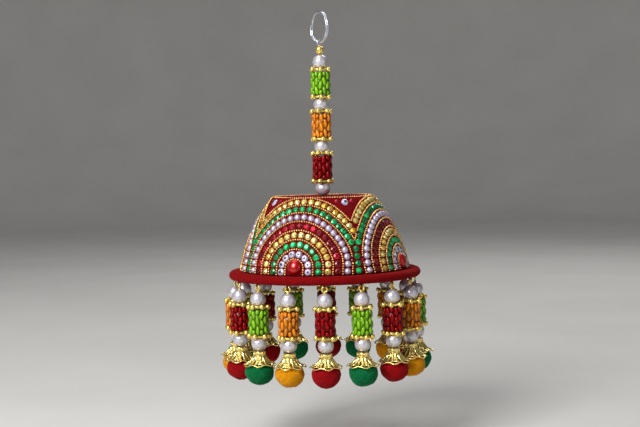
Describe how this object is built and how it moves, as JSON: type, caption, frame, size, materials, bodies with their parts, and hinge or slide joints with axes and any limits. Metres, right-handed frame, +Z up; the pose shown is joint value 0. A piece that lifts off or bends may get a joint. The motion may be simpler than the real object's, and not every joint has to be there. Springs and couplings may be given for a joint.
{
  "type": "jhoomar dome ornament",
  "caption": "Hanging jhoomar ornament: velvet dome paved with arches of stones, felt brim, fringe of bead drops with bell caps and pompoms, bead strand and split ring.",
  "frame": {"origin": "inner top of the split ring, where it rests on the hook or finger that holds it", "axes": "+Z up along the bead strand, -Y the front, where one drop hangs in line with the viewer, +X right as seen from the front"},
  "size_m": [0.1398, 0.1398, 0.2398],
  "materials": {
    "silver_wire": "polished",
    "gold_plate": "polished gold plate",
    "pearl": "pearl lustre",
    "rice_beads_green": "glossy",
    "rice_beads_orange": "glossy",
    "rice_beads_red": "glossy, slightly clear",
    "velvet": "short red pile",
    "felt": "red felt",
    "stone_red": "foil-backed, faceted",
    "stone_green": "foil-backed, faceted",
    "stone_gold": "foil-backed, faceted",
    "stone_clear": "foil-backed crystal",
    "bead_string": "glossy beads and gold findings",
    "pompom_red": "felted wool",
    "pompom_green": "felted wool",
    "pompom_yellow": "felted wool"
  },
  "bodies": {
    "holder": {"hang_ring": "silver_wire"},
    "ornament": {"strand_wire": "silver_wire", "gold_bead": "gold_plate", "pearl_1": "pearl", "pearl_2": "pearl", "pearl_3": "pearl", "pearl_4": "pearl", "spacer_1": "gold_plate", "spacer_2": "gold_plate", "spacer_3": "gold_plate", "spacer_4": "gold_plate", "spacer_5": "gold_plate", "spacer_6": "gold_plate", "barrel_green": "rice_beads_green", "barrel_orange": "rice_beads_orange", "barrel_red": "rice_beads_red", "dome": "velvet", "brim": "felt", "cabochon_1": "stone_red", "cabochon_2": "stone_red", "cabochon_3": "stone_red", "cabochon_4": "stone_red", "drop_01": "bead_string", "drop_02": "bead_string", "drop_03": "bead_string", "drop_04": "bead_string", "drop_05": "bead_string", "drop_06": "bead_string", "drop_07": "bead_string", "drop_08": "bead_string", "drop_09": "bead_string", "drop_10": "bead_string", "drop_11": "bead_string", "drop_12": "bead_string", "drop_13": "bead_string", "drop_14": "bead_string", "drop_15": "bead_string", "drop_16": "bead_string", "pompom_01": "pompom_red", "pompom_02": "pompom_green", "pompom_03": "pompom_red", "pompom_04": "pompom_yellow", "pompom_05": "pompom_green", "pompom_06": "pompom_red", "pompom_07": "pompom_yellow", "pompom_08": "pompom_green", "pompom_09": "pompom_red", "pompom_10": "pompom_green", "pompom_11": "pompom_red", "pompom_12": "pompom_green", "pompom_13": "pompom_yellow", "pompom_14": "pompom_red", "pompom_15": "pompom_green", "pompom_16": "pompom_yellow"}
  },
  "joints": [
    {"name": "eye_swing", "type": "hinge", "parent": "holder", "child": "ornament", "pos_m": [0, 0, -0.0194], "axis": [0.5299, -0.848, 0], "range_deg": [-70, 70]}
  ]
}
